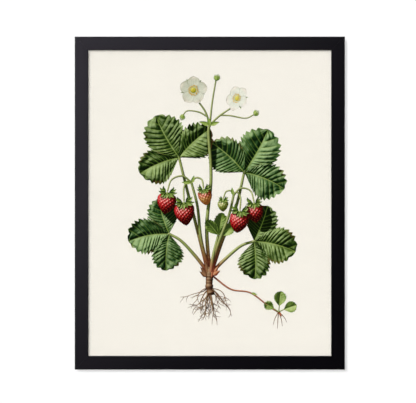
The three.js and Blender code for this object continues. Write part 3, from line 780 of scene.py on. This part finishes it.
    # a runner with a plantlet at its end
    stem("print_runner", [(4, -118, 14), (34, -140, 16), (66, -146, 16), (96, -168, 16), (112, -178, 16)], 1.5, 1.1, ramp=STEM_RED, seed=31)
    lance("print_runner", (67, -146), -10, 11, 1.9, z=17, bend=-20, ramp=GREEN_YOUNG, seed=32, lift=0.1)
    for a, l, z in ((150, 18, 17), (20, 22, 18), (84, 24, 20)):
        b = (112 + 9 * math.cos(math.radians(a)), -176 + 9 * math.sin(math.radians(a)))
        stem("print_runner", [(112, -177, z), (*b, z)], 1.1, 0.8, n=6, ramp=STEM)
        leaflet("print_runner", b, a, l, l * 0.42, z=z, fold=0.4, seed=50 + int(a), ramp=GREEN_YOUNG, ns=64, nt=33, teeth=6)
    lance("print_runner", (112, -176), -60, 10, 2.0, z=18, ramp=STEM_RED, seed=35)
    for i, (dx, dy) in enumerate(((-9, -20), (-2, -26), (6, -22), (13, -16))):
        stem("print_runner", [(112 + dx * 0.1, -178, 15), (112 + dx * 0.7, -178 + dy * 0.5, 15), (112 + dx, -178 + dy, 15)], 0.8, 0.35, ramp=ROOT, across=5, seed=60 + i)

    # crown and scales
    stem("print_crown", [(2, -150, 14), (-1, -134, 17), (0, -114, 18), (0, -104, 17)], 5.6, 6.6, ramp=BARK, across=17, n=60, seed=71, knots=0.35)
    for i, (x, a, l) in enumerate(((-5, 118, 22), (5, 64, 21), (-2, 100, 26), (3, 84, 24), (-6, 140, 15), (6, 38, 15))):
        lance("print_crown", (x * 0.8, -122 + 2 * (i % 3)), a, l, 3.6, z=22 + i * 0.8, bend=8 if a > 90 else -8, cup=-0.45, ramp=STEM_RED if i % 2 else BARK, seed=80 + i, ns=30, nt=13, waist=0.25)
    r = np.random.default_rng(5)
    for i in range(17):
        t = (i + 0.5) / 17
        a = math.radians(-90 + (t - 0.5) * 128 + r.uniform(-8, 8))
        l = r.uniform(38, 66) * (1 - 0.25 * abs(t - 0.5) * 2)
        x0, y0 = (t - 0.5) * 9, -138 - 10 * (1 - abs(t - 0.5) * 2) + r.uniform(-5, 3)
        pts = [(x0, y0, 12 + 3 * (i % 3))]
        x, y, b = x0, y0, a
        for k in range(5):
            b = b + r.uniform(-0.42, 0.42) + (-math.pi / 2 - b) * 0.10
            x, y = x + l / 5 * math.cos(b), y + l / 5 * math.sin(b)
            y = max(y, -212)
            pts.append((x, y, 12 + 3 * (i % 3)))
        c = stem("print_roots", pts, r.uniform(0.9, 1.5), 0.32, ramp=ROOT, across=5, seed=100 + i, knots=0.5)
        for k in range(r.integers(3, 6)):
            j = int(len(c) * r.uniform(0.25, 0.92))
            d = c[min(j + 1, len(c) - 1)] - c[j - 1]
            e = math.atan2(d[1], d[0]) + r.choice([-1, 1]) * r.uniform(0.5, 1.1)
            m = r.uniform(7, 17)
            e2 = e + r.uniform(-0.5, 0.5)
            p1 = (c[j][0] + m * 0.5 * math.cos(e), c[j][1] + m * 0.5 * math.sin(e), c[j][2] - 0.5)
            p2 = (p1[0] + m * 0.5 * math.cos(e2), max(-214.0, p1[1] + m * 0.5 * math.sin(e2)), c[j][2] - 0.5)
            stem("print_roots", [tuple(c[j]), p1, p2], 0.5, 0.22, ramp=ROOT, across=3, seed=200 + i)


def bud(name, at, ang, size, z=0.0, seed=0):
    """A closed flower bud in its sepals."""
    nv, nu = 26, 25
    v = np.linspace(0, 1, nv)[:, None] * np.ones((1, nu))
    u = np.linspace(-1, 1, nu)[None] * np.ones((nv, 1))
    rad = size * 0.52 * np.sin(np.pi * np.clip(v, 0, 1) ** 0.8) ** 0.7
    th = math.radians(ang)
    lx, ly = rad * np.sin(u * math.pi / 2), v * size * 1.1
    P = np.stack([at[0] + ly * math.cos(th) - lx * math.sin(th), at[1] + ly * math.sin(th) + lx * math.cos(th), z + rad * np.cos(u * math.pi / 2)], -1)
    layer(name).add(P, lambda shade, spec: tone(0.1 + 0.9 * shade, PETAL))
    for i, a in enumerate((-58, -30, 0, 30, 58)):
        lance(name, (at[0] - math.sin(th) * -a / 58 * size * 0.10, at[1]), ang + a, size * 0.95, size * 0.17, z=z + size * 0.55 + 0.4 * (2 - abs(i - 2)), bend=-a * 0.9, cup=-0.3, ramp=GREEN_YOUNG, seed=seed + i)


compose()


# ---- light and shade
def shade_plate():
    pitch, x0, y0, nx, ny = 0.8, -200.0, -250.0, 500, 625
    top = np.full((ny, nx), -1e3)
    for l in layers.values():
        for P, N, paint in l.parts:
            # points between the grid's own, so that no cell inside a surface is missed
            Q = [P, (P[1:] + P[:-1]) / 2, (P[:, 1:] + P[:, :-1]) / 2]
            for p in Q:
                i = np.clip(((p[..., 1] - y0) / pitch).astype(int), 0, ny - 1)
                j = np.clip(((p[..., 0] - x0) / pitch).astype(int), 0, nx - 1)
                np.maximum.at(top, (i.ravel(), j.ravel()), p[..., 2].ravel())

    def height(x, y):
        i = np.clip(((y - y0) / pitch).astype(int), 0, ny - 1)
        j = np.clip(((x - x0) / pitch).astype(int), 0, nx - 1)
        return top[i, j]

    flat = np.hypot(LIGHT[0], LIGHT[1])
    lx, ly, up = LIGHT[0] / flat, LIGHT[1] / flat, LIGHT[2] / flat
    for l in layers.values():
        done = []
        for P, N, paint in l.parts:
            x, y, z = P[..., 0], P[..., 1], P[..., 2]
            dark = np.zeros(z.shape)
            for k in range(1, 19):
                d = 1.3 * k
                h = height(x + lx * d, y + ly * d) - (z + d * up) - 0.6
                dark = np.maximum(dark, smooth(h, 0.0, 1.2 + 0.22 * d))
            shut = np.zeros(z.shape)
            for r_, w in ((2.4, 0.4), (5.0, 0.35), (9.0, 0.25)):
                for a in np.arange(8) * math.pi / 4 + r_:
                    h = height(x + r_ * math.cos(a), y + r_ * math.sin(a)) - z
                    shut = shut + w / 8 * smooth(h, 0.3 * r_, 1.6 * r_)
            n = np.where(N[..., 2:3] < 0, -N, N)
            diff = np.clip((n * LIGHT).sum(-1), 0, 1)
            sky = 0.5 + 0.5 * n[..., 1]
            shade = 0.08 + 0.16 * sky * n[..., 2] + 0.72 * diff * (1 - 0.80 * dark)
            shade = np.clip(shade * (1 - 0.62 * shut), 0, 1)
            spec = np.clip((n * HALF).sum(-1), 0, 1) ** getattr(paint, "gloss", 9) * (1 - dark) * (1 - 0.6 * shut)
            done.append((P, np.clip(paint(shade, spec), 0, 1)))
        l.done = done


shade_plate()

# ---- ink on the sheet
SHEET_Y, SHEET_Z = -12.55, -258.0
DEEP = 0.40  # the whole relief, in millimetres, stays behind the glazing


def press(paper_node):
    zs = np.concatenate([P[..., 2].ravel() for l in layers.values() for P, c in l.done])
    z_lo, z_hi = zs.min(), zs.max()
    pieces = []
    for l in layers.values():
        verts, faces, cols, uvs, base = [], [], [], [], 0
        # every surface has its own place on the bake map, in rows
        boxes = []
        for k, (P, c) in enumerate(l.done):
            lo, hi = P[..., :2].reshape(-1, 2).min(0), P[..., :2].reshape(-1, 2).max(0)
            boxes.append((k, lo, hi - lo))
        area = sum((b[2][0] + 1) * (b[2][1] + 1) for b in boxes)
        side = math.sqrt(area) * 1.02
        while True:
            gap = side * 0.004
            place, x, y, row, ok = {}, gap, gap, 0.0, True
            for k, lo, size in sorted(boxes, key=lambda b: -b[2][1]):
                if x + size[0] + gap > side:
                    x, y, row = gap, y + row + gap, 0.0
                if x + size[0] + gap > side or y + size[1] + gap > side:
                    ok = False
                    break
                place[k] = (x, y, lo)
                x += size[0] + gap
                row = max(row, size[1])
            if ok:
                break
            side *= 1.03
        for k, (P, c) in enumerate(l.done):
            h, w = P.shape[:2]
            idx = base + np.arange(h * w).reshape(h, w)
            a, b, d, e = idx[:-1, :-1], idx[1:, :-1], idx[1:, 1:], idx[:-1, 1:]
            quad = np.stack([a, b, d, e], -1).reshape(-1, 4)
            q = P.reshape(-1, 3)
            loc = quad - base
            s1 = q[loc[:, 1], :2] - q[loc[:, 0], :2]
            s2 = q[loc[:, 2], :2] - q[loc[:, 0], :2]
            s3 = q[loc[:, 3], :2] - q[loc[:, 0], :2]
            turn = (s1[:, 0] * s2[:, 1] - s1[:, 1] * s2[:, 0] + s2[:, 0] * s3[:, 1] - s2[:, 1] * s3[:, 0]).sum()
            if turn < 0:
                quad = quad[:, ::-1]
            y = SHEET_Y - 0.04 - DEEP * (q[:, 2] - z_lo) / (z_hi - z_lo)
            verts.append(np.stack([q[:, 0], y, q[:, 1] + SHEET_Z], -1) * MM)
            faces.append(quad)
            cols.append(c.reshape(-1, 3) / 1.11)  # the sheet is lit a little over its own tone
            px, py, lo = place[k]
            uvs.append(np.stack([(q[:, 0] - lo[0] + px) / side, (q[:, 1] - lo[1] + py) / side], -1))
            base += h * w
        verts, faces, cols, uvs = (np.concatenate(v) for v in (verts, faces, cols, uvs))
        me = bpy.data.meshes.new(l.name)
        me.from_pydata(verts.tolist(), [], faces.tolist())
        ink = me.color_attributes.new("ink", "FLOAT_COLOR", "POINT")
        ink.data.foreach_set("color", np.hstack([cols, np.ones((len(cols), 1))]).astype(np.float32).ravel())
        uv = me.uv_layers.new(name="OFBake")
        loops = np.empty(len(me.loops), np.int32)
        me.loops.foreach_get("vertex_index", loops)
        uv.data.foreach_set("uv", uvs[loops].astype(np.float32).ravel())
        me.polygons.foreach_set("use_smooth", np.ones(len(me.polygons), bool))
        # collapsed and folded cells at tips and poles
        bm = bmesh.new()
        bm.from_mesh(me)
        bmesh.ops.dissolve_degenerate(bm, dist=2e-6, edges=bm.edges)
        bmesh.ops.triangulate(bm, faces=bm.faces)
        seen, spare = set(), []
        for f in bm.faces:
            key = frozenset(tuple(round(x * 1e6) for x in v.co) for v in f.verts)
            if len(key) < 3 or key in seen:
                spare.append(f)
            seen.add(key)
        bmesh.ops.delete(bm, geom=spare, context="FACES")
        bm.to_mesh(me)
        bm.free()
        me.update()
        o = bpy.data.objects.new(l.name, me)
        scene.collection.objects.link(o)
        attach(o, "frame")
        pieces.append(o)
    return pieces


def ink_material():
    """Printing ink that soaks into a soft paper: its colour breaks up in fine grains and pools at the edges of the tooth."""
    m = Mat("print_ink")
    c = m.coord()
    ink = m.n("ShaderNodeAttribute", attribute_name="ink").outputs["Color"]
    grain = m.noise(1500.0, 3.0, 0.6, c)
    wash = m.noise(210.0, 4.0, 0.6, c, 0.5)
    thin = m.mix(1.0, ink, (1.16, 1.15, 1.12), "MULTIPLY")
    ink = m.mix(m.span(grain, 0.30, 0.72, 0.0, 0.60), ink, thin)
    dark = m.mix(1.0, ink, (0.74, 0.75, 0.74), "MULTIPLY")
    ink = m.mix(m.span(wash, 0.42, 0.70, 0.0, 0.50), ink, dark)
    n = m.bump(grain, 0.20, 0.00004)
    m.principled(Base_Color=ink, Roughness=m.span(wash, 0.3, 0.7, 0.80, 0.92), Normal=n, Specular_IOR_Level=0.03)
    return m


ink_mat = ink_material()
for piece in press("print_sheet"):
    piece.data.materials.append(ink_mat.m)

# ---------------------------------------------------------------------------- stage
def plane(name, corners, mat):
    me = bpy.data.meshes.new(name)
    me.from_pydata(corners, [], [(0, 1, 2, 3)])
    o = bpy.data.objects.new(name, me)
    scene.collection.objects.link(o)
    me.materials.append(mat.m)
    return o


WALL_WHITE = 0.845
wm = Mat("stage_wall")
wc = wm.coord()
wp = wm.n("ShaderNodeBsdfDiffuse", inputs={"Color": wm.ramp(wm.noise(3.0, 2.0, 0.5, wc), [(0.3, WALL_WHITE), (0.7, WALL_WHITE + 0.01)])})
wt = wm.n("ShaderNodeBsdfTransparent")
wx = wm.n("ShaderNodeMixShader", inputs={0: wm.n("ShaderNodeNewGeometry").outputs["Backfacing"], 1: wp.outputs[0], 2: wt.outputs[0]})
wm.put(wm.out.inputs["Surface"], wx.outputs[0])
wall = plane("stage_wall", [(-6, 0.0004, -1.5), (6, 0.0004, -1.5), (6, 0.0004, 3.5), (-6, 0.0004, 3.5)], wm)
wall.visible_shadow = False
wall.visible_diffuse = False
wall.visible_glossy = False
wall.visible_transmission = False

fm = Mat("stage_floor")
fc = fm.coord()
fp = fm.n("ShaderNodeBsdfDiffuse", inputs={"Color": fm.ramp(fm.noise(2.0, 2.0, 0.5, fc), [(0.3, (0.80, 0.79, 0.78)), (0.7, (0.82, 0.81, 0.80))])})
fe = fm.n("ShaderNodeEmission", inputs={"Color": (0.97, 0.98, 1.0)})
far = fm.n("ShaderNodeVectorMath", operation="LENGTH", inputs={0: fc})
fx = fm.n("ShaderNodeMixShader", inputs={0: fm.span(far.outputs["Value"], 2.0, 9.0, smooth=True), 1: fp.outputs[0], 2: fe.outputs[0]})
fm.put(fm.out.inputs["Surface"], fx.outputs[0])
floor = plane("stage_floor", [(-30, -30, -1.5), (30, -30, -1.5), (30, 30, -1.5), (-30, 30, -1.5)], fm)
floor.visible_glossy = False
floor.visible_diffuse = False

# ---------------------------------------------------------------------------- camera
LENS = 150.0
PX = 1.6210 * MM  # one picture pixel on the frame's front plane
cam_data = bpy.data.cameras.new("camera")
cam = bpy.data.objects.new("camera", cam_data)
scene.collection.objects.link(cam)
cam_data.lens = LENS
cam_data.sensor_width = 36.0
dist = 416 * PX * LENS / 36.0
cam.location = (-0.00294, -0.0214 - dist, -0.25541)
cam.rotation_euler = (math.radians(90), 0, 0)
cam_data.clip_start, cam_data.clip_end = 0.05, 100
scene.camera = cam


# ---------------------------------------------------------------------------- lights
def light(name, kind, energy, loc=(0, 0, 0), aim=(0, 0, -0.258), color=(1, 1, 1), diffuse=True, glossy=True, **props):
    d = bpy.data.lights.new(name, kind)
    d.energy = energy
    d.color = color
    for k, v in props.items():
        setattr(d, k, v)
    o = bpy.data.objects.new(name, d)
    scene.collection.objects.link(o)
    o.location = loc
    o.rotation_euler = (Vector(aim) - Vector(loc)).to_track_quat("-Z", "Y").to_euler()
    o.visible_diffuse = diffuse
    o.visible_glossy = glossy
    o.visible_camera = False
    return o


def sun(name, energy, toward, angle, **kw):
    """A sun that shines along toward."""
    t = Vector(toward).normalized()
    return light(name, "SUN", energy, loc=tuple(-t * 3), aim=(0, 0, 0), angle=math.radians(angle), **kw)


sun("fill", 2.189, (0.0, 1.0, 0.0), 2.0, glossy=False)
sun("key", 1.50, (math.tan(math.radians(14.5)), 1.0, -math.tan(math.radians(13.4))), 11.0, glossy=False)
# strip boxes beside and above the viewer; they light the lacquer and leave the glass clear
lacquered = bpy.data.collections.new("lacquered")
for n in ("rail_top", "rail_bottom", "rail_left", "rail_right"):
    lacquered.objects.link(nodes[n])
for tag, watt, x0, x1, z0, z1 in (("side", 2.60, -0.62, -0.42, -0.50, 0.60), ("side_low", 0.31, -0.62, -0.42, -0.95, -0.50), ("top", 0.86, -0.25, 0.27, 0.28, 0.60)):
    at = ((x0 + x1) / 2, -2.57, (z0 + z1) / 2)
    o = light("sheen_" + tag, "AREA", watt, loc=at, aim=(at[0], 0, at[2]), color=(1.085, 1.0, 1.21), diffuse=False, shape="RECTANGLE", size=x1 - x0, size_y=z1 - z0)
    o.light_linking.receiver_collection = lacquered

# soft boxes behind the wall plane light the back and the sides, and never the front
light("back_left", "AREA", 26.0, loc=(-2.3, 1.75, 0.3), shape="RECTANGLE", size=2.6, size_y=2.4)
light("back_right", "AREA", 11.0, loc=(2.3, 1.75, 0.0), shape="RECTANGLE", size=2.6, size_y=1.8)
sun("top", 1.9, (0.10, -0.22, -1.0), 30.0, glossy=False)

w = bpy.data.worlds.new("world")
scene.world = w
w.use_nodes = True
wn = w.node_tree
wn.nodes.clear()
tc = wn.nodes.new("ShaderNodeTexCoord")
sep = wn.nodes.new("ShaderNodeSeparateXYZ")
wn.links.new(tc.outputs["Generated"], sep.inputs[0])
# dark towards the viewer's side of the room, paler to the sides, above and behind
front = wn.nodes.new("ShaderNodeMapRange")
front.interpolation_type = "SMOOTHSTEP"
wn.links.new(sep.outputs[1], front.inputs[0])
for i, v in ((1, -0.32), (2, 0.42), (3, 0.002), (4, 0.50)):
    front.inputs[i].default_value = v
# and a dim glow overhead
above = wn.nodes.new("ShaderNodeMapRange")
above.interpolation_type = "SMOOTHSTEP"
wn.links.new(sep.outputs[2], above.inputs[0])
for i, v in ((1, 0.15), (2, 0.75), (3, 0.0), (4, 0.22)):
    above.inputs[i].default_value = v
# and a fainter one from the floor
below = wn.nodes.new("ShaderNodeMapRange")
below.interpolation_type = "SMOOTHSTEP"
wn.links.new(sep.outputs[2], below.inputs[0])
for i, v in ((1, -0.22), (2, -0.46), (3, 0.0), (4, 0.09)):
    below.inputs[i].default_value = v
glow = wn.nodes.new("ShaderNodeMath")
glow.operation = "MAXIMUM"
wn.links.new(above.outputs[0], glow.inputs[0])
wn.links.new(below.outputs[0], glow.inputs[1])
both = wn.nodes.new("ShaderNodeMath")
both.operation = "MAXIMUM"
wn.links.new(front.outputs[0], both.inputs[0])
wn.links.new(glow.outputs[0], both.inputs[1])
lp = wn.nodes.new("ShaderNodeLightPath")
pick = wn.nodes.new("ShaderNodeMix")
wn.links.new(lp.outputs["Is Camera Ray"], pick.inputs[0])
wn.links.new(both.outputs[0], pick.inputs[2])
pick.inputs[3].default_value = 1.0
bg = wn.nodes.new("ShaderNodeBackground")
bg.inputs[0].default_value = (0.97, 0.98, 1.0, 1)
wn.links.new(pick.outputs[0], bg.inputs[1])
wo = wn.nodes.new("ShaderNodeOutputWorld")
wn.links.new(bg.outputs[0], wo.inputs[0])
